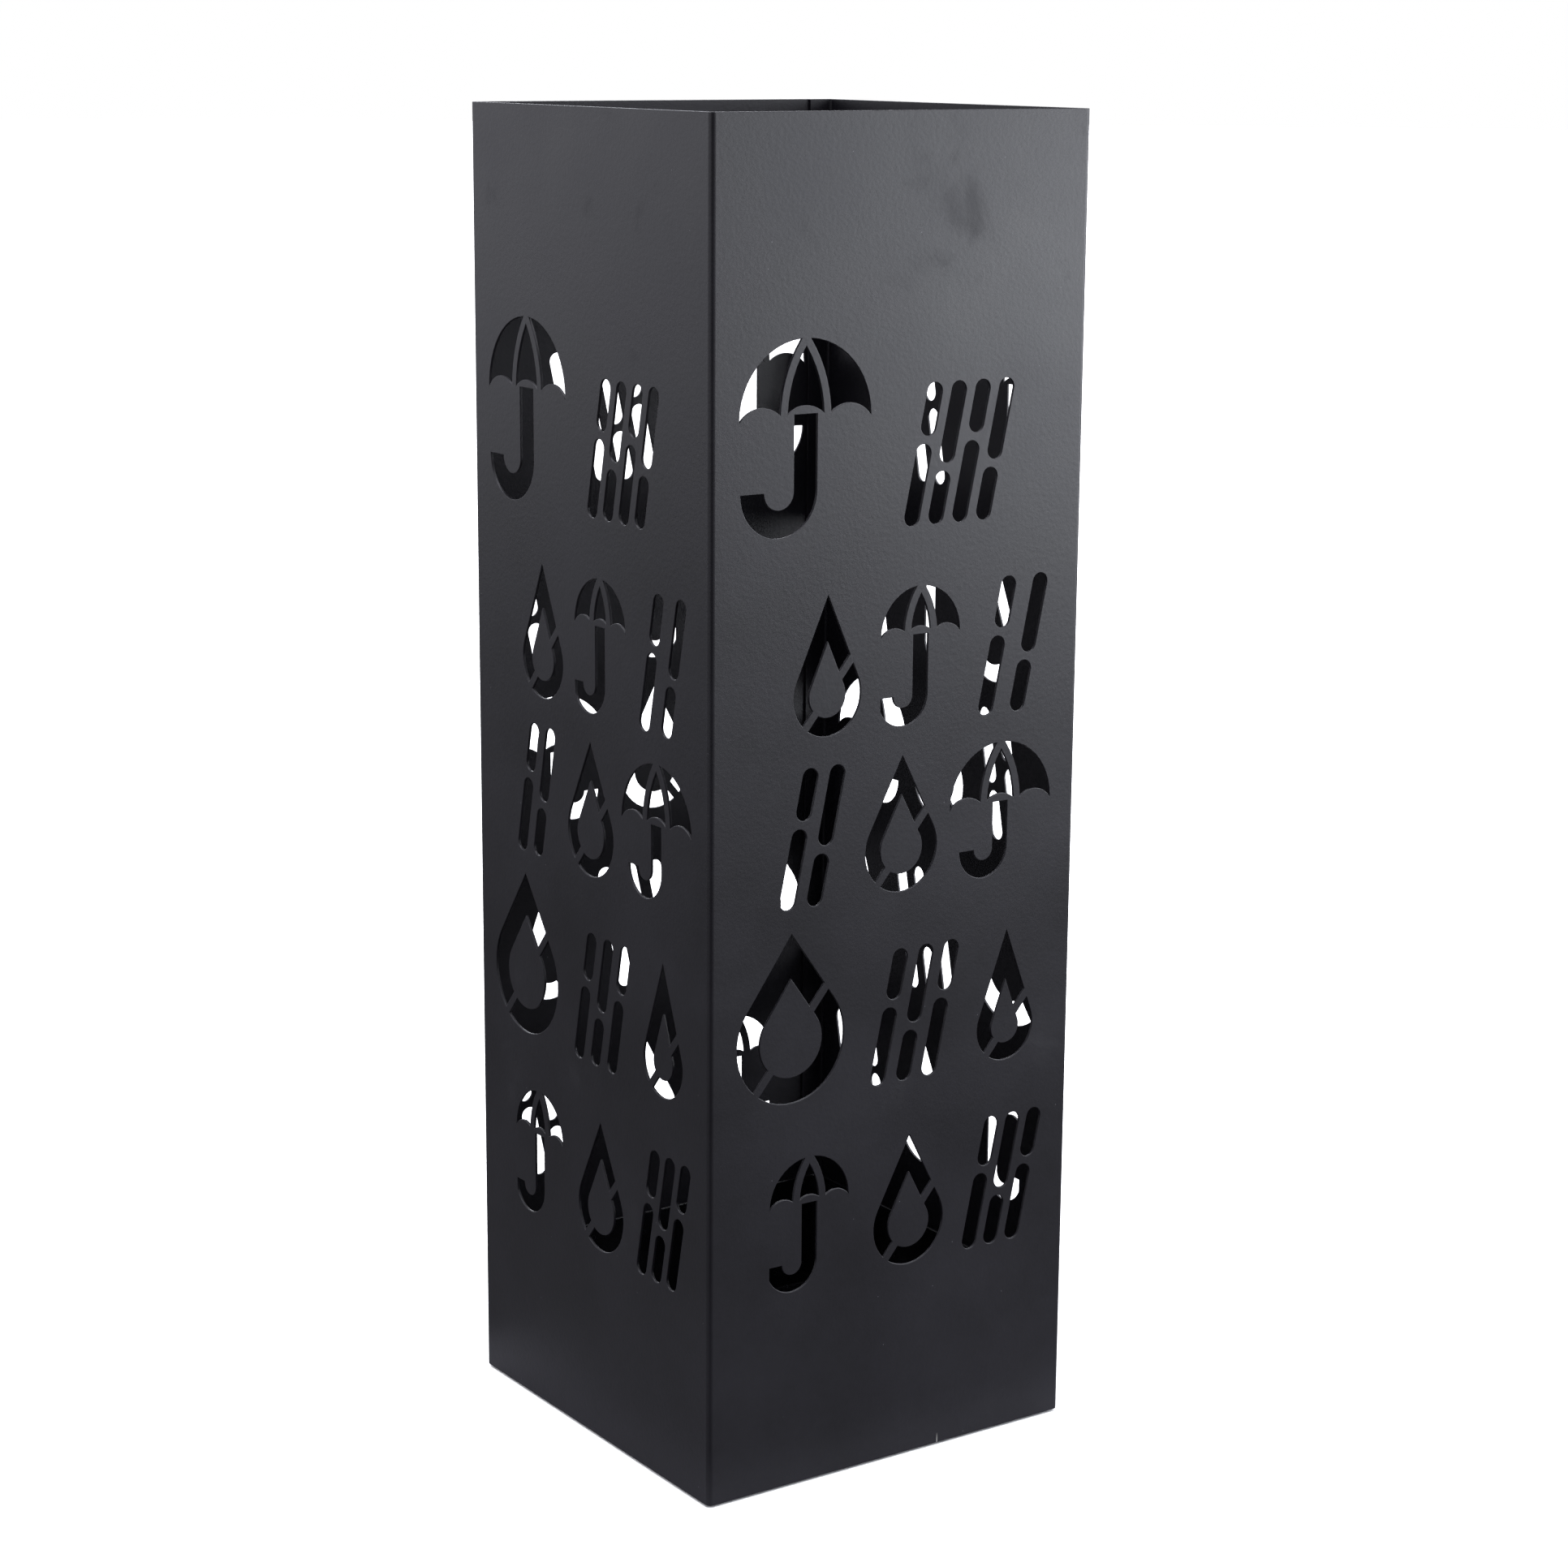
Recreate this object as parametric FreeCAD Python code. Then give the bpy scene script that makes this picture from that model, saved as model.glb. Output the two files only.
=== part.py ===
import FreeCAD, Part
import math
import os
from collections import namedtuple

# Free-standing umbrella stand, in millimetres.
# One sheet of steel is cut through with pictures of umbrellas, drops and rain, then folded into
# a square tube that laps over itself at the back right corner. A folded pan is welded into the
# bottom, four pads are stuck under it, and a plastic drip tray stands in it and lifts out.
# The origin is the middle of the footprint on the floor, +Z is up and the front wall faces -Y.

# Casing
casing_width = 160.0  # outside, across X
casing_depth = 160.0  # outside, along Y
stand_height = 490.0  # floor to rim
sheet = 1.0
bend_radius = 2.0  # outside of each fold
lap_width = 10.5  # flange folded in behind the back wall, from the outer corner
lap_gap = 0.1  # paint between the two layers of the lap
seam_setback = 2.5  # outer corner to the raw edge of the back wall
weld_count = 8  # spot welds down the lap, which show as shallow dimples on the back wall
weld_diameter = 5.0
weld_depth = 0.15
weld_margin = 20.0  # ends of the lap to the nearest weld

# Foot pads
pad_diameter = 18.0
pad_thickness = 2.0
pad_inset = 6.0  # inside of the casing to the edge of a pad

# Base pan
pan_sheet = 1.0
pan_bend_radius = 2.0
pan_flange = 10.0  # height of the upturned edges
pan_recess = 1.0  # underside of the pan above the bottom edge of the casing
pan_notch = 5.0  # square notch at each corner, where the flanges stop
lap_clearance = 1.0  # top of a pan flange to the bottom of the lap flange

# Drip tray
tray_height = 48.0
tray_wall = 1.5
tray_floor = 1.5
tray_clearance = 0.5  # rim of the tray to the innermost steel
tray_draft = 1.0  # degrees
tray_corner_radius = 5.0  # outside, at the rim
tray_foot_radius = 2.5  # outside, wall to floor
tray_rim_radius = 0.5

# Cut-outs
land = 1.0  # steel left between the lap flange and the nearest cut-out
end_margin = 75.0  # plain sheet above and below the cut-outs
bridge = 3.0  # steel that ties the inner pieces of a picture to the sheet
stroke = 6.5
wide_stroke = 9.5  # in cells that are taller than the short ones
hook_ratio = 1.15  # middle radius of an umbrella's hook over its stroke
gore_count = 3  # panels seen across an umbrella's canopy
scallop_rise = 0.25  # height of a scallop over its width
bridge_tilt = 40.0  # degrees from upright, the bridges across a drop
rain_slant = 12.0  # degrees from upright
rain_split = 0.6  # share of a streak below its gap

# The pictures stand on a grid of columns and lines between the margins of a wall.
grid_columns = 24
grid_lines = 48
short_lines = 7.0
middle_lines = 8.75
tall_lines = 9.5

Cell = namedtuple("Cell", "picture column columns line lines")
cells = (
    Cell("umbrella", 0.0, 9.5, 38.5, tall_lines),
    Cell("rain", 12.0, 8.5, 38.5, short_lines),
    Cell("drop", 4.0, 5.0, 28.5, short_lines),
    Cell("umbrella", 10.5, 6.0, 28.5, short_lines),
    Cell("rain", 18.0, 5.5, 28.5, short_lines),
    Cell("rain", 3.0, 5.0, 20.0, short_lines),
    Cell("drop", 9.5, 5.5, 20.0, short_lines),
    Cell("umbrella", 16.0, 8.0, 20.0, short_lines),
    Cell("drop", 0.0, 8.0, 10.0, middle_lines),
    Cell("rain", 10.0, 7.0, 10.0, short_lines),
    Cell("drop", 18.5, 4.5, 10.0, short_lines),
    Cell("umbrella", 2.5, 6.0, 0.0, short_lines),
    Cell("drop", 10.5, 5.5, 0.0, short_lines),
    Cell("rain", 17.5, 6.5, 0.0, short_lines),
)

# Places that follow from the sizes above
half_width = casing_width / 2
half_depth = casing_depth / 2
casing_bottom = pad_thickness - pan_recess
pan_top = pad_thickness + pan_flange
tray_base = pad_thickness + pan_sheet
inner_layer = max(sheet + lap_gap, pan_sheet)
through = 2 * sheet  # how far a cutter stands clear of what it cuts


def vec(x, y, z=0.0):
    return FreeCAD.Vector(x, y, z)


def plane(u, v):
    """A point of a wall's picture: u to the right, v up."""
    return FreeCAD.Vector(u, 0, v)


def box(low, high):
    size = high - low
    return Part.makeBox(size.x, size.y, size.z, low)


def folded_path(points, radius):
    """Straight runs through the points, with an arc of this radius at each square corner."""
    edges = []
    start = points[0]
    for before, corner, after in zip(points, points[1:], points[2:]):
        back = (before - corner).normalize()
        ahead = (after - corner).normalize()
        arc_start = corner + back * radius
        arc_end = corner + ahead * radius
        arc_middle = corner + (back + ahead) * radius * (1 - math.sqrt(0.5))
        edges.append(Part.makeLine(start, arc_start))
        edges.append(Part.Arc(arc_start, arc_middle, arc_end).toShape())
        start = arc_end
    edges.append(Part.makeLine(start, points[-1]))
    return edges


def folded_sheet(outside, inside, radius, thickness, extrusion):
    """Sheet metal whose section runs between an outside and an inside line."""
    edges = folded_path(outside, radius)
    edges.append(Part.makeLine(outside[-1], inside[-1]))
    edges.extend(folded_path(inside[::-1], radius - thickness))
    edges.append(Part.makeLine(inside[0], outside[0]))
    return Part.Face(Part.Wire(edges)).extrude(extrusion)


def polygon(points):
    return Part.Face(Part.makePolygon(points + points[:1]))


def disc(centre, radius):
    circle = Part.makeCircle(radius, centre, vec(0, 1, 0))
    return Part.Face(Part.Wire(circle))


def ring(centre, radius, width):
    return disc(centre, radius + width / 2).cut(disc(centre, radius - width / 2))


def rectangle(left, bottom, right, top):
    return polygon([plane(left, bottom), plane(right, bottom), plane(right, top), plane(left, top)])


def umbrella(left, bottom, width, height, line):
    """An open umbrella: gores between curved ribs, and a shaft that ends in a hook."""
    middle = left + width / 2
    reach = width / 2
    spring = bottom + height - reach
    gore = width / gore_count
    rise = gore * scallop_rise
    scallop_radius = gore * gore / (8 * rise) + rise / 2
    canopy = disc(plane(middle, spring), reach)
    canopy = canopy.common(rectangle(left, spring, left + width, spring + reach))
    for number in range(gore_count):
        centre = plane(left + gore * (number + 0.5), spring + rise - scallop_radius)
        canopy = canopy.cut(disc(centre, scallop_radius))
    for side in (-1, 1):
        # the rib is an arc through the crown and a scallop's point, square to the spring line
        foot = gore / 2
        rib_radius = (reach * reach + foot * foot) / (2 * foot)
        rib_centre = plane(middle + side * (foot - rib_radius), spring)
        canopy = canopy.cut(ring(rib_centre, rib_radius, bridge))
    hook = line * hook_ratio
    hook_level = bottom + hook + line / 2
    shaft_top = spring + rise - bridge
    bend = ring(plane(middle - hook, hook_level), hook, line)
    bend = bend.common(rectangle(left, bottom, left + width, hook_level))
    shaft = rectangle(middle - line / 2, hook_level, middle + line / 2, shaft_top)
    return [canopy, shaft.fuse(bend).removeSplitter()]


def drop_face(centre, radius, tip):
    """A circle with two tangents that meet at a tip this far above its centre."""
    lean = math.asin(radius / tip)
    across = radius * math.cos(lean)
    up = radius * math.sin(lean)
    right = centre + plane(across, up)
    left = centre + plane(-across, up)
    crown = centre + plane(0, tip)
    bowl = Part.Arc(left, centre - plane(0, radius), right).toShape()
    edges = [bowl, Part.makeLine(right, crown), Part.makeLine(crown, left)]
    return Part.Face(Part.Wire(edges))


def drop(left, bottom, width, height, line):
    """The outline of a drop, with a tilted bridge that ties its middle to the sheet."""
    radius = width / 2
    centre = plane(left + radius, bottom + radius)
    tip = height - radius
    inner_tip = tip - line * tip / radius
    outline = drop_face(centre, radius, tip).cut(drop_face(centre, radius - line, inner_tip))
    tie = rectangle(-bridge / 2, -height, bridge / 2, height)
    tie.rotate(vec(0, 0, 0), vec(0, 1, 0), bridge_tilt)
    tie.translate(centre)
    return [outline.cut(tie)]


def streak(foot, head, line):
    """A slot with round ends between two points."""
    along = (head - foot).normalize()
    side = plane(along.z, -along.x) * (line / 2)
    start = foot + along * (line / 2)
    end = head - along * (line / 2)
    edges = [
        Part.makeLine(start - side, end - side),
        Part.Arc(end - side, head, end + side).toShape(),
        Part.makeLine(end + side, start + side),
        Part.Arc(start + side, foot, start - side).toShape(),
    ]
    return Part.Face(Part.Wire(edges))


def rain(left, bottom, width, height, line):
    """Slanting streaks side by side, each in two lengths, the long one low and high in turn."""
    slant = math.tan(math.radians(rain_slant))
    run = height * slant
    spread = width - run - line
    count = 1 + max(1, math.floor(spread / (line + bridge)))
    pitch = spread / (count - 1)
    faces = []
    for number in range(count):
        foot = plane(left + line / 2 + pitch * number, bottom)
        head = foot + plane(run, height)
        share = rain_split if number % 2 == 0 else 1 - rain_split
        split = foot + (head - foot) * share
        margin = (head - foot).normalize() * (bridge / 2)
        faces.append(streak(foot, split - margin, line))
        faces.append(streak(split + margin, head, line))
    return faces


pictures = {"umbrella": umbrella, "drop": drop, "rain": rain}


def wall_cutters(wall_width, wall_distance):
    """Cutters for the wall that faces -Y, of this width and this far from the middle."""
    side_margin = lap_width + land
    column = (wall_width - 2 * side_margin) / grid_columns
    line_height = (stand_height - 2 * end_margin) / grid_lines
    cutters = []
    for cell in cells:
        left = side_margin - wall_width / 2 + column * cell.column
        bottom = end_margin + line_height * cell.line
        line = wide_stroke if cell.lines > short_lines else stroke
        draw = pictures[cell.picture]
        cutters.extend(draw(left, bottom, column * cell.columns, line_height * cell.lines, line))
    flat = Part.makeCompound(cutters)
    flat.translate(vec(0, -wall_distance - through, 0))
    return flat.extrude(vec(0, sheet + 2 * through, 0))


def weld_dimples():
    """A row of shallow cups in the back wall, over the middle of the lap."""
    across = half_width - (lap_width + seam_setback) / 2
    ball = (weld_diameter / 2) ** 2 / (2 * weld_depth) + weld_depth / 2
    lowest = pan_top + lap_clearance + weld_margin
    pitch = (stand_height - weld_margin - lowest) / (weld_count - 1)
    centre_y = half_depth + ball - weld_depth
    centres = [vec(across, centre_y, lowest + pitch * number) for number in range(weld_count)]
    return [Part.makeSphere(ball, centre) for centre in centres]


def casing():
    """The folded tube: back, left, front and right walls, then the lap flange."""
    lap = sheet + lap_gap
    raw_edge = half_width - seam_setback
    lap_edge = half_width - lap_width
    outside = [
        vec(raw_edge, half_depth, casing_bottom),
        vec(-half_width, half_depth, casing_bottom),
        vec(-half_width, -half_depth, casing_bottom),
        vec(half_width, -half_depth, casing_bottom),
        vec(half_width, half_depth - lap, casing_bottom),
        vec(lap_edge, half_depth - lap, casing_bottom),
    ]
    inside = [
        vec(raw_edge, half_depth - sheet, casing_bottom),
        vec(sheet - half_width, half_depth - sheet, casing_bottom),
        vec(sheet - half_width, sheet - half_depth, casing_bottom),
        vec(half_width - sheet, sheet - half_depth, casing_bottom),
        vec(half_width - sheet, half_depth - lap - sheet, casing_bottom),
        vec(lap_edge, half_depth - lap - sheet, casing_bottom),
    ]
    rise = vec(0, 0, stand_height - casing_bottom)
    tube = folded_sheet(outside, inside, bend_radius, sheet, rise)
    # the lap flange starts above the pan's flange, which lies in the same layer
    notch_low = vec(lap_edge - sheet, half_depth - lap - 2 * sheet, 0)
    notch_high = vec(half_width - bend_radius, half_depth - sheet - lap_gap / 2, pan_top + lap_clearance)
    tube = tube.cut(weld_dimples())
    tools = [box(notch_low, notch_high)]
    for quarter in range(4):
        faces_y = quarter % 2 == 0
        wall_width = casing_width if faces_y else casing_depth
        wall_distance = half_depth if faces_y else half_width
        cutters = wall_cutters(wall_width, wall_distance)
        cutters.rotate(vec(0, 0, 0), vec(0, 0, 1), -90 * quarter)
        tools.extend(cutters.Solids)
    return tube.cut(Part.makeCompound(tools))


def pan_channel(half_span, half_length):
    """A channel with both edges turned up, which spans X and is this long on Y."""
    low = pad_thickness
    outside = [
        vec(-half_span, -half_length, pan_top),
        vec(-half_span, -half_length, low),
        vec(half_span, -half_length, low),
        vec(half_span, -half_length, pan_top),
    ]
    inside = [
        vec(pan_sheet - half_span, -half_length, pan_top),
        vec(pan_sheet - half_span, -half_length, low + pan_sheet),
        vec(half_span - pan_sheet, -half_length, low + pan_sheet),
        vec(half_span - pan_sheet, -half_length, pan_top),
    ]
    return folded_sheet(outside, inside, pan_bend_radius, pan_sheet, vec(0, 2 * half_length, 0))


def base_pan():
    """Two crossed channels that share a floor, which leaves a square notch at each corner."""
    half_x = half_width - sheet
    half_y = half_depth - sheet
    across = pan_channel(half_x, half_y - pan_notch)
    along = pan_channel(half_y, half_x - pan_notch)
    along.rotate(vec(0, 0, 0), vec(0, 0, 1), 90)
    return across.fuse(along).removeSplitter()


def foot_pad(side_x, side_y):
    radius = pad_diameter / 2
    inset = sheet + pad_inset + radius
    place = vec(side_x * (half_width - inset), side_y * (half_depth - inset))
    return Part.makeCylinder(radius, pad_thickness, place)


def rounded_rectangle(half_x, half_y, radius, level):
    corners = [vec(0, -half_y, level), vec(half_x, -half_y, level), vec(half_x, half_y, level),
               vec(-half_x, half_y, level), vec(-half_x, -half_y, level), vec(0, -half_y, level)]
    return Part.Wire(folded_path(corners, radius))


def tapered_block(inset, low, high, foot_radius):
    """The tray's outside, moved in by the inset, between two levels, with its foot rounded."""
    half_x = half_width - sheet - inner_layer - tray_clearance - inset
    half_y = half_depth - sheet - inner_layer - tray_clearance - inset
    radius = tray_corner_radius - inset
    rim = tray_base + tray_height
    wires = []
    for level in (low, high):
        draw_in = (rim - level) * math.tan(math.radians(tray_draft))
        wires.append(rounded_rectangle(half_x - draw_in, half_y - draw_in, radius - draw_in, level))
    block = Part.makeLoft(wires, True, True)
    foot = [edge for edge in block.Edges if edge.BoundBox.ZMax < low + sheet]
    return block.makeFillet(foot_radius, foot)


def drip_tray():
    """A tapered tray with even walls, rounded at the foot and along the rim."""
    rim = tray_base + tray_height
    floor = tray_base + tray_floor
    outer = tapered_block(0, tray_base, rim, tray_foot_radius)
    inner = tapered_block(tray_wall, floor, rim + tray_wall, tray_foot_radius - tray_wall)
    tray = outer.cut(inner)
    rim_edges = [edge for edge in tray.Edges if edge.BoundBox.ZMin > rim - tray_rim_radius]
    return tray.makeFillet(tray_rim_radius, rim_edges)


def build():
    parts = {"casing": casing(), "base_pan": base_pan(), "drip_tray": drip_tray()}
    for side_y, end in ((-1, "front"), (1, "back")):
        for side_x, hand in ((-1, "left"), (1, "right")):
            parts["foot_pad_" + end + "_" + hand] = foot_pad(side_x, side_y)
    return parts


os.makedirs("parts", exist_ok=True)
for name, shape in build().items():
    print(name, shape.ShapeType, len(shape.Solids), shape.isValid(), round(shape.Volume))
    shape.exportStep("parts/" + name + ".step")
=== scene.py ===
import bmesh
import bpy
import math
import numpy as np
from mathutils import Matrix, Vector


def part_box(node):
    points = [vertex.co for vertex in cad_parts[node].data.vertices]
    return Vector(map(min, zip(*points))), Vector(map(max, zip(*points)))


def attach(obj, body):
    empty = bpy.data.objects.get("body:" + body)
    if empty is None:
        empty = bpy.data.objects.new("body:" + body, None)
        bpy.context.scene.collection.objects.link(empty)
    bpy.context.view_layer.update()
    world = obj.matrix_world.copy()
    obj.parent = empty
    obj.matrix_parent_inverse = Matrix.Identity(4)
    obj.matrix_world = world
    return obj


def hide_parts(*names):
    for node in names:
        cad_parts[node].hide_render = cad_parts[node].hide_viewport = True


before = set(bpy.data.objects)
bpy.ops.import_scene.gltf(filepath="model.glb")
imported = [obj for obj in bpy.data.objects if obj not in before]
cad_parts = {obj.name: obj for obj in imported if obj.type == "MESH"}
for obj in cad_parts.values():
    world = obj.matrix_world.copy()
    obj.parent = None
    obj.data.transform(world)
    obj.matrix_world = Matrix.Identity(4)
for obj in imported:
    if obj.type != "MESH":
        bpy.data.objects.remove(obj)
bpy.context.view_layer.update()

# Everything below is in metres. A size that is easier to think of in millimetres is times mm.
mm = 0.001

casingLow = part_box("casing")[0]
trayLow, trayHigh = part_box("drip_tray")
padNodes = sorted(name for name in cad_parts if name.startswith("foot_pad"))
print("frame loaded:", len(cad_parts), "nodes")


def toLinear(hexColour):
    # sRGB to linear light, by the standard two-part curve
    code = np.array([int(hexColour[start:start + 2], 16) for start in (1, 3, 5)]) / 255
    light = np.where(code <= 0.04045, code / 12.92, ((code + 0.055) / 1.055) ** 2.4)
    return (*light.tolist(), 1.0)


def addNode(tree, kind, inputs=None, **properties):
    # An input is a number or colour for a socket, or another node's output that is linked to it.
    node = tree.nodes.new("ShaderNode" + kind)
    for key, value in properties.items():
        setattr(node, key, value)
    for key, value in (inputs or {}).items():
        if isinstance(value, bpy.types.NodeSocket):
            tree.links.new(value, node.inputs[key])
        else:
            node.inputs[key].default_value = value
    return node


def newMaterial(name):
    material = bpy.data.materials.new(name)
    material.use_nodes = True
    material.node_tree.nodes.clear()
    return material, material.node_tree


powderCoat = {
    "colour": "#0f0e13",
    "faded": "#17161c",
    "dust": "#6c6b70",
    "steel": "#b9b8b2",
    "roughness": (0.37, 0.43),
    "smudgedRoughness": 0.52,
    "peel": 1.5 * mm,          # one dimple of the orange peel
    "peelDepth": 0.03 * mm,
    "powder": 0.6 * mm,        # one grain of the powder, drawn twice as coarse as it is
    "powderDepth": 0.012 * mm,
    "mottle": 4 * mm,
    "mottleShare": 0.35,       # beside the blotches
    "fadeRange": (0.52, 0.87),
    "blotch": 70 * mm,         # handling marks
    "blotchRange": (0.3, 0.7),
    "smudge": 34 * mm,
    "smudgeRange": (0.62, 0.80),
    "fingerMark": (14 * mm, -80 * mm, 461 * mm),    # the middle of the largest smudge
    "fingerReach": 42 * mm,
    "fingerPress": 0.3,        # added to the smudge pattern at that point
    "speckSpacing": 9 * mm,
    "speckSize": 0.2 * mm,
    "speckCore": 0.6,          # share of a speck's reach that is solid dust
    "scratch": 22 * mm,        # a scratch in the bottom edge of the front wall, by its X
    "scratchWidth": 0.6 * mm,
    "scratchTop": 5.0 * mm,
    "scratchDepth": 1 * mm,    # how far it reaches into the wall
}


def powderCoatMaterial():
    # Matte black polyester powder, sprayed dry on the folded sheet and baked. It flows out to a
    # satin film with a fine orange peel and grain, and shows dust specks and finger marks.
    coat = powderCoat
    material, tree = newMaterial("powderCoatBlack")
    place = addNode(tree, "TexCoord").outputs["Object"]
    peel = addNode(tree, "TexNoise", {"Vector": place, "Scale": 1 / coat["peel"], "Detail": 1.0})
    powder = addNode(tree, "TexNoise", {"Vector": place, "Scale": 1 / coat["powder"], "Detail": 1.0})
    relief = addNode(tree, "Bump", {"Height": peel.outputs["Fac"], "Strength": 1.0,
                                    "Distance": coat["peelDepth"]})
    relief = addNode(tree, "Bump", {"Height": powder.outputs["Fac"], "Normal": relief.outputs["Normal"],
                                    "Strength": 1.0, "Distance": coat["powderDepth"]})

    blotch = addNode(tree, "TexNoise", {"Vector": place, "Scale": 1 / coat["blotch"], "Detail": 3.0,
                                        "Roughness": 0.6})
    mottle = addNode(tree, "TexNoise", {"Vector": place, "Scale": 1 / coat["mottle"], "Detail": 3.0})
    uneven = addNode(tree, "Math", {0: mottle.outputs["Fac"], 1: coat["mottleShare"],
                                    2: blotch.outputs["Fac"]}, operation="MULTIPLY_ADD")
    fade = addNode(tree, "MapRange", {"Value": uneven.outputs["Value"], "From Min": coat["fadeRange"][0],
                                      "From Max": coat["fadeRange"][1]})
    colour = addNode(tree, "Mix", {"Factor": fade.outputs["Result"], 6: toLinear(coat["colour"]),
                                   7: toLinear(coat["faded"])}, data_type="RGBA")

    # finger marks are patches with a ragged edge where grease fills the grain, and the largest is
    # near the top of the front wall
    smudge = addNode(tree, "TexNoise", {"Vector": place, "Scale": 1 / coat["smudge"], "Detail": 5.0,
                                        "Roughness": 0.55, "Distortion": 0.6})
    apart = addNode(tree, "VectorMath", {0: place, 1: coat["fingerMark"]}, operation="DISTANCE")
    near = addNode(tree, "MapRange", {"Value": apart.outputs["Value"], "From Max": coat["fingerReach"],
                                      "To Min": coat["fingerPress"], "To Max": 0.0})
    touched = addNode(tree, "Math", {0: smudge.outputs["Fac"], 1: near.outputs["Result"]})
    smudged = addNode(tree, "MapRange", {
        "Value": touched.outputs["Value"], "From Min": coat["smudgeRange"][0],
        "From Max": coat["smudgeRange"][1]}, interpolation_type="SMOOTHSTEP")
    dry = addNode(tree, "MapRange", {
        "Value": blotch.outputs["Fac"], "From Min": coat["blotchRange"][0],
        "From Max": coat["blotchRange"][1], "To Min": coat["roughness"][0],
        "To Max": coat["roughness"][1]})
    roughness = addNode(tree, "Mix", {"Factor": smudged.outputs["Result"], "A": dry.outputs["Result"],
                                      "B": coat["smudgedRoughness"]})

    speck = addNode(tree, "TexVoronoi", {"Vector": place, "Scale": 1 / coat["speckSpacing"]})
    speckReach = coat["speckSize"] / coat["speckSpacing"]
    dust = addNode(tree, "MapRange", {
        "Value": speck.outputs["Distance"], "From Min": speckReach * coat["speckCore"],
        "From Max": speckReach, "To Min": 1.0, "To Max": 0.0})
    colour = addNode(tree, "Mix", {"Factor": dust.outputs["Result"], 6: colour.outputs[2],
                                   7: toLinear(coat["dust"])}, data_type="RGBA")

    # the scratch shows bare steel, brightest at the bottom edge of the front wall
    axes = addNode(tree, "SeparateXYZ", {"Vector": place})
    aside = addNode(tree, "Math", {0: axes.outputs["X"], 1: coat["scratch"], 2: coat["scratchWidth"] / 2},
                    operation="COMPARE")
    above = addNode(tree, "MapRange", {"Value": axes.outputs["Z"], "From Min": casingLow.z,
                                       "From Max": coat["scratchTop"], "To Min": 1.0, "To Max": 0.0})
    infront = addNode(tree, "Math", {0: axes.outputs["Y"], 1: casingLow.y + coat["scratchDepth"]},
                      operation="LESS_THAN")
    scratch = addNode(tree, "Math", {0: aside.outputs["Value"], 1: above.outputs["Result"]},
                      operation="MULTIPLY")
    scratch = addNode(tree, "Math", {0: scratch.outputs["Value"], 1: infront.outputs["Value"]},
                      operation="MULTIPLY")
    colour = addNode(tree, "Mix", {"Factor": scratch.outputs["Value"], 6: colour.outputs[2],
                                   7: toLinear(coat["steel"])}, data_type="RGBA")
    shader = addNode(tree, "BsdfPrincipled", {
        "Base Color": colour.outputs[2], "Roughness": roughness.outputs[0],
        "Metallic": scratch.outputs["Value"], "Normal": relief.outputs["Normal"], "IOR": 1.5})
    addNode(tree, "OutputMaterial", {"Surface": shader.outputs["BSDF"]})
    return material


trayPlastic = {
    "colour": "#0b0b0d",
    "film": "#26262a",
    "roughness": (0.16, 0.30),
    "flow": 40 * mm,
    "filmRange": (0.45, 0.75),
    "filmMost": 0.5,
    "ripple": 14 * mm,
    "rippleDepth": 0.02 * mm,
    "markSpacing": 6 * mm,
    "markSize": 0.9 * mm,
    "markRing": (0.7, 1.25),    # its inner and outer edge, as shares of its size
}


def trayPlasticMaterial():
    # Black polypropylene, moulded in a polished tool: glossy, with slight ripples where the melt
    # flowed, a thin film left by dried water, and small round drop marks.
    plastic = trayPlastic
    material, tree = newMaterial("trayPolypropylene")
    place = addNode(tree, "TexCoord").outputs["Object"]
    ripple = addNode(tree, "TexNoise", {"Vector": place, "Scale": 1 / plastic["ripple"], "Detail": 1.0})
    relief = addNode(tree, "Bump", {"Height": ripple.outputs["Fac"], "Strength": 1.0,
                                    "Distance": plastic["rippleDepth"]})
    flow = addNode(tree, "TexNoise", {"Vector": place, "Scale": 1 / plastic["flow"], "Detail": 4.0,
                                      "Roughness": 0.65})
    film = addNode(tree, "MapRange", {
        "Value": flow.outputs["Fac"], "From Min": plastic["filmRange"][0],
        "From Max": plastic["filmRange"][1], "To Max": plastic["filmMost"]})
    # a drop mark is a ring, strongest at its size and nothing inside or outside its two edges
    mark = addNode(tree, "TexVoronoi", {"Vector": place, "Scale": 1 / plastic["markSpacing"]})
    reach = plastic["markSize"] / plastic["markSpacing"]
    inner = addNode(tree, "MapRange", {"Value": mark.outputs["Distance"],
                                       "From Min": reach * plastic["markRing"][0], "From Max": reach})
    outer = addNode(tree, "MapRange", {
        "Value": mark.outputs["Distance"], "From Min": reach,
        "From Max": reach * plastic["markRing"][1], "To Min": plastic["filmMost"], "To Max": 0.0})
    ring = addNode(tree, "Math", {0: inner.outputs["Result"], 1: outer.outputs["Result"]},
                   operation="MULTIPLY")
    amount = addNode(tree, "Math", {0: ring.outputs["Value"], 1: film.outputs["Result"]},
                     operation="MAXIMUM")
    colour = addNode(tree, "Mix", {"Factor": amount.outputs["Value"], 6: toLinear(plastic["colour"]),
                                   7: toLinear(plastic["film"])}, data_type="RGBA")
    roughness = addNode(tree, "MapRange", {
        "Value": amount.outputs["Value"], "From Max": plastic["filmMost"],
        "To Min": plastic["roughness"][0], "To Max": plastic["roughness"][1]})
    shader = addNode(tree, "BsdfPrincipled", {
        "Base Color": colour.outputs[2], "Roughness": roughness.outputs["Result"],
        "Normal": relief.outputs["Normal"], "IOR": 1.49})
    addNode(tree, "OutputMaterial", {"Surface": shader.outputs["BSDF"]})
    return material


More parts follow.
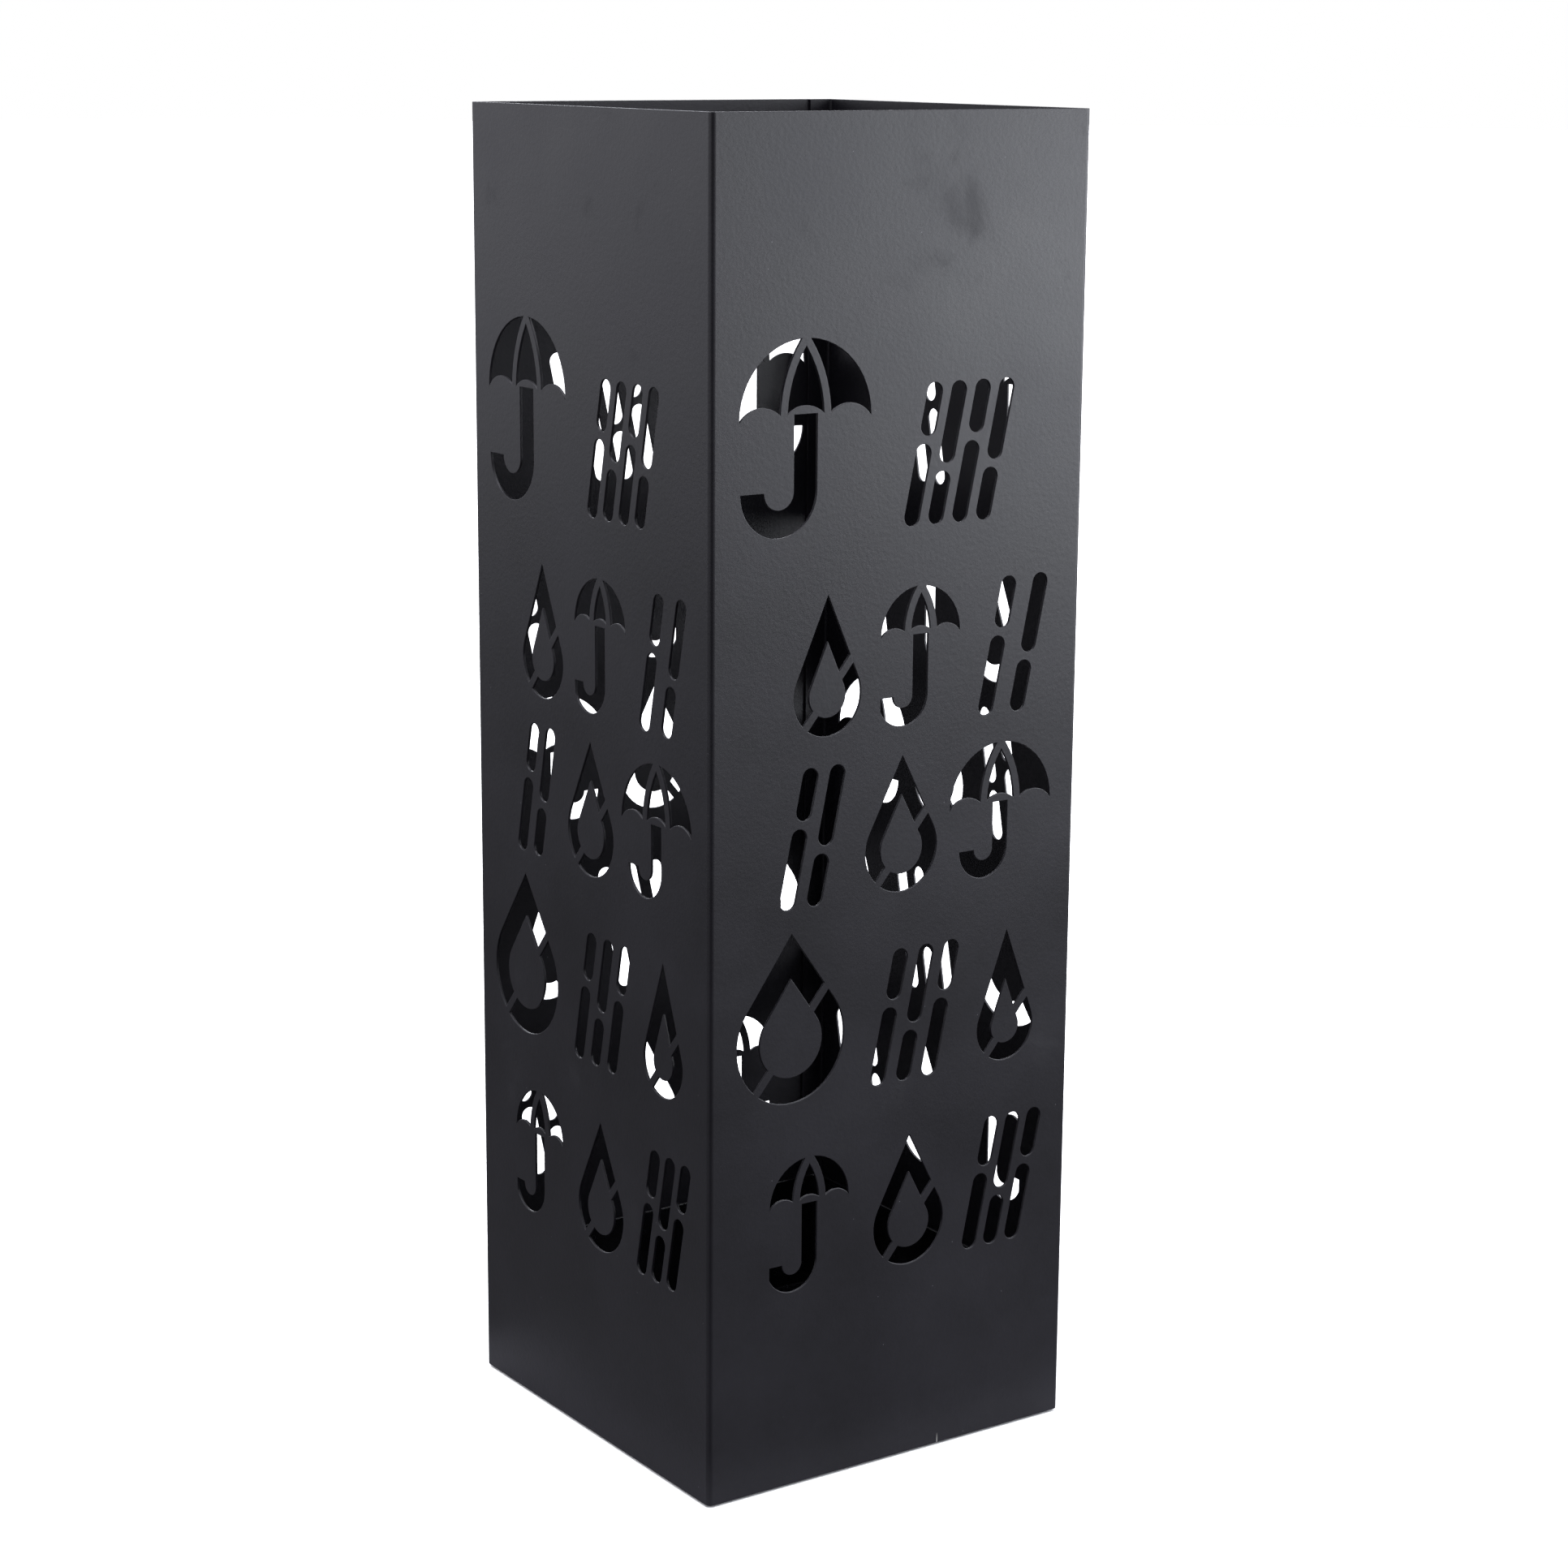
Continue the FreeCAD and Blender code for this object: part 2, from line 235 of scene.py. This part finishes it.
padFoam = {
    "colour": "#17171a",
    "worn": "#2b2b2e",
    "wear": 5 * mm,
    "cell": 0.5 * mm,
    "cellDepth": 0.06 * mm,
}


def padFoamMaterial():
    # Closed-cell EVA foam, die cut from sheet: dead matte, with fine open cells on the surface.
    foam = padFoam
    material, tree = newMaterial("padFoamBlack")
    place = addNode(tree, "TexCoord").outputs["Object"]
    cell = addNode(tree, "TexVoronoi", {"Vector": place, "Scale": 1 / foam["cell"]})
    relief = addNode(tree, "Bump", {"Height": cell.outputs["Distance"], "Strength": 1.0,
                                    "Distance": foam["cellDepth"]})
    worn = addNode(tree, "TexNoise", {"Vector": place, "Scale": 1 / foam["wear"], "Detail": 3.0})
    colour = addNode(tree, "Mix", {"Factor": worn.outputs["Fac"], 6: toLinear(foam["colour"]),
                                   7: toLinear(foam["worn"])}, data_type="RGBA")
    shader = addNode(tree, "BsdfPrincipled", {
        "Base Color": colour.outputs[2], "Normal": relief.outputs["Normal"],
        "Roughness": 0.9, "IOR": 1.5})
    addNode(tree, "OutputMaterial", {"Surface": shader.outputs["BSDF"]})
    return material


coatMaterial = powderCoatMaterial()
plasticMaterial = trayPlasticMaterial()
foamMaterial = padFoamMaterial()
print("materials made")


def newPiece(name, mesh, material, node, body):
    # puts a finished mesh in the scene in place of a CAD node
    mesh.materials.clear()
    mesh.materials.append(material)
    mesh.polygons.foreach_set("use_smooth", np.ones(len(mesh.polygons), dtype=bool))
    piece = bpy.data.objects.new(name, mesh)
    bpy.context.scene.collection.objects.link(piece)
    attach(piece, body)
    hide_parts(node)
    return piece


def easedCopy(name, node, settings):
    # The CAD surface joined into one skin, its flat faces made whole, and its edges eased as the
    # powder rounds them. Normals are weighted by area, so flat walls stay flat beside the bends.
    build = bmesh.new()
    build.from_mesh(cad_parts[node].data)
    bmesh.ops.remove_doubles(build, verts=build.verts, dist=settings["join"])
    bmesh.ops.dissolve_limit(build, angle_limit=math.radians(settings["flatWithin"]),
                             verts=build.verts, edges=build.edges, delimit={"NORMAL"})
    mesh = bpy.data.meshes.new(name)
    build.to_mesh(mesh)
    build.free()
    piece = newPiece(name, mesh, coatMaterial, node, "stand")
    bevel = piece.modifiers.new("easedEdges", "BEVEL")
    bevel.width = settings["edge"]
    bevel.segments = settings["edgeSteps"]
    bevel.limit_method = "ANGLE"
    bevel.angle_limit = math.radians(settings["sharpOver"])
    bevel.use_clamp_overlap = False
    bevel.loop_slide = False
    piece.modifiers.new("flatWalls", "WEIGHTED_NORMAL")
    return piece


def roundedLoop(arcSteps, sideSteps):
    # A rounded square as two complex numbers for each point: the corner that its arc is drawn
    # round, and the direction from there. The corner moves straight to the next one along a side.
    angle = np.linspace(0, np.pi / 2, arcSteps)
    walk = np.linspace(0, 1, sideSteps + 2)[1:-1]
    corner = np.concatenate([np.full(arcSteps, 1 + 1j), (1 + 1j) + walk * ((-1 + 1j) - (1 + 1j))])
    towards = np.concatenate([np.exp(1j * angle), np.full(sideSteps, 1j)])
    quarters = 1j ** np.arange(4)
    return np.outer(quarters, corner).ravel(), np.outer(quarters, towards).ravel()


def turnedSurface(half, radius, level, loop, centre=(0.0, 0.0)):
    # Row by row up the profile: corner times (half - radius) plus direction times radius.
    corner, towards = loop
    plan = np.outer(half - radius, corner) + np.outer(radius, towards)
    height = np.broadcast_to(level[:, None], plan.shape)
    return np.stack([plan.real + centre[0], plan.imag + centre[1], height], axis=-1)


def closedMesh(name, rows):
    # The first and last rows are each one point. The rows between are joined by four-sided
    # faces, and the two points by fans.
    count, around = rows.shape[:2]
    points = np.vstack([rows[:1, 0], rows[1:-1].reshape(-1, 3), rows[-1:, 0]])
    here = np.arange(around)
    ahead = (here + 1) % around
    start = 1 + around * np.arange(count - 3)[:, None]
    upper = start + around
    walls = np.stack([start + here, start + ahead, upper + ahead, upper + here], axis=-1)
    top = 1 + around * (count - 3)
    below = np.stack([np.zeros_like(here), 1 + ahead, 1 + here], axis=-1)
    above = np.stack([top + here, top + ahead, np.full_like(here, len(points) - 1)], axis=-1)
    mesh = bpy.data.meshes.new(name)
    mesh.from_pydata(points.tolist(), [], walls.reshape(-1, 4).tolist() + below.tolist() + above.tolist())
    return mesh


casingSheet = {
    "join": 0.001 * mm,
    "flatWithin": 0.5,    # degrees
    "sharpOver": 40.0,    # degrees
    "edge": 0.2 * mm,
    "edgeSteps": 2,
}

panSheet = dict(casingSheet, edge=0.15 * mm)

easedCopy("casingSheet", "casing", casingSheet)
easedCopy("basePan", "base_pan", panSheet)
print("casing and pan made")


dripTray = {
    "wall": 1.5 * mm,
    "floor": 1.5 * mm,
    "draft": 1.0,             # degrees
    "corner": 5.0 * mm,       # outside, at the rim
    "foot": 2.5 * mm,
    "innerFoot": 1.0 * mm,
    "drawIn": 0.35 * mm,      # walls sink a little between the corners as the moulding cools
    "wallFrom": 0.9,          # points past this share of the half width are on a wall
    "arcSteps": 9,
    "sideSteps": 24,
    "footSteps": 7,
    "rimSteps": 11,
    "wallSteps": 12,
    "floorSteps": 10,
}


def dripTrayRows():
    # One line from the middle of the underside, round the foot, up the outside, over a half-round
    # rim, down the inside and across the floor. Each point is an inset from the rim's outside and
    # a level. The rounded square shrinks by the inset, and towards the middle of a floor it
    # shrinks in proportion.
    tray = dripTray
    bottom, top = trayLow.z, trayHigh.z
    lean = math.tan(math.radians(tray["draft"]))
    thick = tray["wall"]
    quarter = np.linspace(0, np.pi / 2, tray["footSteps"])
    halfTurn = np.linspace(0, np.pi, tray["rimSteps"])
    footLevel = bottom + tray["foot"] * (1 - np.cos(quarter))
    footInset = tray["foot"] * (1 - np.sin(quarter))
    wallLevel = np.linspace(bottom + tray["foot"], top - thick / 2, tray["wallSteps"])[1:-1]
    rimLevel = top - thick / 2 + thick / 2 * np.sin(halfTurn)
    rimInset = thick / 2 * (1 - np.cos(halfTurn))
    floorLevel = bottom + tray["floor"]
    innerLevel = np.linspace(top - thick / 2, floorLevel + tray["innerFoot"], tray["wallSteps"])[1:-1]
    innerFootLevel = floorLevel + tray["innerFoot"] * (1 - np.cos(quarter[::-1]))
    innerFootInset = thick + tray["innerFoot"] * (1 - np.sin(quarter[::-1]))
    level = np.concatenate([footLevel, wallLevel, rimLevel, innerLevel, innerFootLevel])
    inset = np.concatenate([footInset, np.zeros_like(wallLevel), rimInset,
                            np.full_like(innerLevel, thick), innerFootInset])
    inset = inset + (top - level) * lean
    half = trayHigh.x - inset
    radius = tray["corner"] - inset
    shrink = np.linspace(0, 1, tray["floorSteps"])[:-1]
    half = np.concatenate([half[0] * shrink, half, half[-1] * shrink[::-1]])
    radius = np.concatenate([radius[0] * shrink, radius, radius[-1] * shrink[::-1]])
    level = np.concatenate([np.full_like(shrink, level[0]), level, np.full_like(shrink, level[-1])])
    rows = turnedSurface(half, radius, level, roundedLoop(tray["arcSteps"], tray["sideSteps"]))
    # each wall is drawn in most half way along, and not at all at the floor
    height = np.clip((rows[..., 2] - bottom) / (top - bottom), 0, 1)
    across = np.clip(1 - (rows[..., :2] / trayHigh.x) ** 2, 0, 1)
    onWall = np.abs(rows[..., :2]) > trayHigh.x * tray["wallFrom"]
    sink = tray["drawIn"] * across[..., ::-1] * height[..., None]
    rows[..., :2] -= np.sign(rows[..., :2]) * onWall * sink
    return rows


trayMesh = closedMesh("dripTray", dripTrayRows())
trayPiece = newPiece("dripTray", trayMesh, plasticMaterial, "drip_tray", "tray")
trayPiece.modifiers.new("evenShading", "WEIGHTED_NORMAL")
print("drip tray made")


footPad = {
    "edge": 0.35 * mm,
    "swell": 0.25 * mm,    # how far the squeezed middle of the edge stands out
    "arcSteps": 12,
    "edgeSteps": 5,
    "sideSteps": 7,
    "faceSteps": 6,
}


def footPadRows(low, high):
    # A disc by its profile: out along the underside, round the edge and back along the top.
    middle = (low + high) / 2
    radius = (high.x - low.x) / 2
    edge = footPad["edge"]
    quarter = np.linspace(0, np.pi / 2, footPad["edgeSteps"])
    side = np.linspace(-1, 1, footPad["sideSteps"])[1:-1]
    reach = np.concatenate([radius - edge + edge * np.sin(quarter), np.full_like(side, radius),
                            radius - edge + edge * np.cos(quarter)])
    lower = low.z + edge * (1 - np.cos(quarter))
    upper = high.z - edge + edge * np.sin(quarter)
    between = middle.z + side * (high.z - low.z - 2 * edge) / 2
    level = np.concatenate([lower, between, upper])
    height = (level - middle.z) / (high.z - middle.z)
    reach = reach - footPad["swell"] * height ** 2
    shrink = np.linspace(0, 1, footPad["faceSteps"])[:-1]
    reach = np.concatenate([reach[0] * shrink, reach, reach[-1] * shrink[::-1]])
    level = np.concatenate([np.full_like(shrink, low.z), level, np.full_like(shrink, high.z)])
    return turnedSurface(reach, reach, level, roundedLoop(footPad["arcSteps"] + 1, 0), middle[:2])


for node in padNodes:
    words = node.split("_")
    name = words[0] + "".join(word.capitalize() for word in words[1:])
    padMesh = closedMesh(name, footPadRows(*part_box(node)))
    newPiece(name, padMesh, foamMaterial, node, "stand")
print("foot pads made")


view = {
    "place": (-689.9 * mm, -1011.2 * mm, 516.6 * mm),
    "heading": 34.52,    # degrees from +Y towards +X
    "tilt": -12.68,
    "roll": 0.40,
    "lens": 77.04,
}

dome = {
    # elevation in degrees and brightness there: a soft glow from the ground, dark just under the
    # horizon, pale above it, dimmer half way up and brightest overhead
    "sky": ((-30, 0.27), (-12, 0.02), (-5, 0.3), (0, 1.8), (6, 1.1), (26, 1.06), (42, 0.6),
            (62, 2.0), (88, 4.0)),
    "tint": (0.97, 0.97, 1.06, 1.0),
    "darkSide": (-0.567, -0.824, 0.0),    # towards the open side of the studio, behind the camera
    "darkEdge": (0.75, 0.97),
    "darkLight": 0.05,
}

floorPaper = {
    "colour": "#f2f2f2",
    "shade": "#ebebeb",
    "grain": 300 * mm,
    "halfSize": 20.0,
    "light": 4.0,      # watts a square metre on the paper alone, which lifts it to white
    "softness": 120.0,    # degrees across its source
}

backdrop = {
    "radius": 18.0,
    "height": 9.0,
    "sides": 96,
}

softboxes = {
    "highSoftbox": {
        "centre": (0.95, -0.62, 0.80),
        "aim": (0.0, -0.08, 0.40),
        "size": (0.7, 1.0),
        "watts": 6.8,
    },
    "lowStrip": {
        "centre": (0.89, -0.73, 0.35),
        "aim": (0.0, -0.08, 0.35),
        "size": (0.76, 0.30),
        "watts": 4.8,
    },
    "leftStrip": {
        "centre": (-0.654, 0.938, 0.35),
        "aim": (-0.08, 0.0, 0.35),
        "size": (0.9, 0.30),
        "watts": 0.2,
    },
    "rearSoftbox": {
        "centre": (0.55, 1.25, 0.75),
        "aim": (0.0, 0.08, 0.35),
        "size": (0.7, 0.9),
        "watts": 7.0,
    },
}
softboxTint = (0.955, 0.985, 1.045)

bounceCard = {
    "reach": 0.11,      # from the middle of the stand
    "drop": 1 * mm,     # it lies just under the floor paper, which lets its light through
    "colour": "#909094",
}


def addToScene(name, data):
    thing = bpy.data.objects.new(name, data)
    bpy.context.scene.collection.objects.link(thing)
    return thing


def addCamera():
    data = bpy.data.cameras.new("camera")
    data.sensor_width = 36.0
    data.lens = view["lens"]
    data.clip_start = 0.01
    data.clip_end = 1000.0
    camera = addToScene("camera", data)
    heading = Matrix.Rotation(math.radians(-view["heading"]), 4, "Z")
    tilt = Matrix.Rotation(math.radians(90 + view["tilt"]), 4, "X")
    roll = Matrix.Rotation(math.radians(view["roll"]), 4, "Z")
    camera.matrix_world = Matrix.Translation(view["place"]) @ heading @ tilt @ roll
    bpy.context.scene.camera = camera


def addDome():
    world = bpy.data.worlds.new("studioDome")
    world.use_nodes = True
    tree = world.node_tree
    tree.nodes.clear()
    direction = addNode(tree, "TexCoord").outputs["Generated"]
    height = addNode(tree, "SeparateXYZ", {"Vector": direction}).outputs["Z"]
    share = addNode(tree, "MapRange", {"Value": height, "From Min": -1.0, "From Max": 1.0})
    sky = addNode(tree, "ValToRGB", {"Fac": share.outputs["Result"]})
    brightest = max(light for elevation, light in dome["sky"])
    stops = sky.color_ramp.elements
    stops.remove(stops[1])
    for elevation, light in dome["sky"]:
        stop = stops.new((1 + math.sin(math.radians(elevation))) / 2)
        shade = light / brightest
        stop.color = (shade, shade, shade, 1.0)
    stops.remove(stops[0])
    facing = addNode(tree, "VectorMath", {0: direction, 1: dome["darkSide"]}, operation="DOT_PRODUCT")
    openSide = addNode(tree, "MapRange", {
        "Value": facing.outputs["Value"],
        "From Min": dome["darkEdge"][0], "From Max": dome["darkEdge"][1],
        "To Min": brightest, "To Max": brightest * dome["darkLight"]}, interpolation_type="SMOOTHSTEP")
    strength = addNode(tree, "Math", {0: sky.outputs["Color"], 1: openSide.outputs["Result"]},
                       operation="MULTIPLY")
    light = addNode(tree, "Background", {"Strength": strength.outputs["Value"], "Color": dome["tint"]})
    addNode(tree, "OutputWorld", {"Surface": light.outputs["Background"]})
    bpy.context.scene.world = world


def addSquare(name, half, level, material):
    mesh = bpy.data.meshes.new(name)
    corners = [(-half, -half, level), (half, -half, level), (half, half, level), (-half, half, level)]
    mesh.from_pydata(corners, [], [(0, 1, 2, 3)])
    mesh.materials.append(material)
    square = addToScene(name, mesh)
    return square


def addFloor():
    # seamless white paper, which neither throws light on the stand nor shows in its gloss
    material, tree = newMaterial("floorPaper")
    place = addNode(tree, "TexCoord").outputs["Object"]
    shade = addNode(tree, "TexNoise", {"Vector": place, "Scale": 1 / floorPaper["grain"], "Detail": 2.0})
    colour = addNode(tree, "Mix", {"Factor": shade.outputs["Fac"], 6: toLinear(floorPaper["colour"]),
                                   7: toLinear(floorPaper["shade"])}, data_type="RGBA")
    shader = addNode(tree, "BsdfPrincipled", {"Base Color": colour.outputs[2], "Roughness": 0.95})
    addNode(tree, "OutputMaterial", {"Surface": shader.outputs["BSDF"]})
    floor = addSquare("floorPaper", floorPaper["halfSize"], 0.0, material)
    floor.visible_diffuse = False
    floor.visible_glossy = False
    floor.visible_shadow = False

    data = bpy.data.lights.new("paperLight", "SUN")
    data.energy = floorPaper["light"]
    data.angle = math.radians(floorPaper["softness"])
    lamp = addToScene("paperLight", data)
    paperOnly = bpy.data.collections.new("paperOnly")
    paperOnly.objects.link(floor)
    lamp.light_linking.receiver_collection = paperOnly


def addBackdrop():
    # A white wall near the floor's far edge, which only the camera sees. It is a circle drawn at
    # two levels, at even angles, with its faces towards the middle.
    material, tree = newMaterial("backdrop")
    glow = addNode(tree, "Emission", {"Color": (1.0, 1.0, 1.0, 1.0), "Strength": 1.0})
    addNode(tree, "OutputMaterial", {"Surface": glow.outputs["Emission"]})
    turn = np.linspace(0, 2 * np.pi, backdrop["sides"], endpoint=False)
    ring = backdrop["radius"] * np.stack([np.cos(turn), np.sin(turn), np.zeros_like(turn)], axis=-1)
    points = np.vstack([ring, ring + (0, 0, backdrop["height"])])
    here = np.arange(backdrop["sides"])
    ahead = (here + 1) % backdrop["sides"]
    above = backdrop["sides"]
    faces = np.stack([ahead, here, here + above, ahead + above], axis=-1)
    mesh = bpy.data.meshes.new("backdrop")
    mesh.from_pydata(points.tolist(), [], faces.tolist())
    mesh.materials.append(material)
    wall = addToScene("backdrop", mesh)
    wall.visible_diffuse = False
    wall.visible_glossy = False
    wall.visible_transmission = False
    wall.visible_shadow = False


def addBounceCard():
    # a grey card that lights the foot of each wall from below
    material, tree = newMaterial("bounceCard")
    shader = addNode(tree, "BsdfPrincipled", {"Base Color": toLinear(bounceCard["colour"]),
                                              "Roughness": 0.9})
    addNode(tree, "OutputMaterial", {"Surface": shader.outputs["BSDF"]})
    addSquare("bounceCard", bounceCard["reach"], -bounceCard["drop"], material)


def addSoftboxes():
    for name, softbox in softboxes.items():
        data = bpy.data.lights.new(name, "AREA")
        data.shape = "RECTANGLE"
        data.size, data.size_y = softbox["size"]
        data.energy = softbox["watts"]
        data.color = softboxTint
        lamp = addToScene(name, data)
        lamp.visible_camera = False
        lamp.location = softbox["centre"]
        towards = Vector(softbox["aim"]) - Vector(softbox["centre"])
        lamp.rotation_euler = towards.to_track_quat("-Z", "Y").to_euler()


addCamera()
addDome()
addFloor()
addBackdrop()
addBounceCard()
addSoftboxes()
bpy.context.scene.view_settings.view_transform = "Standard"
print("studio made")
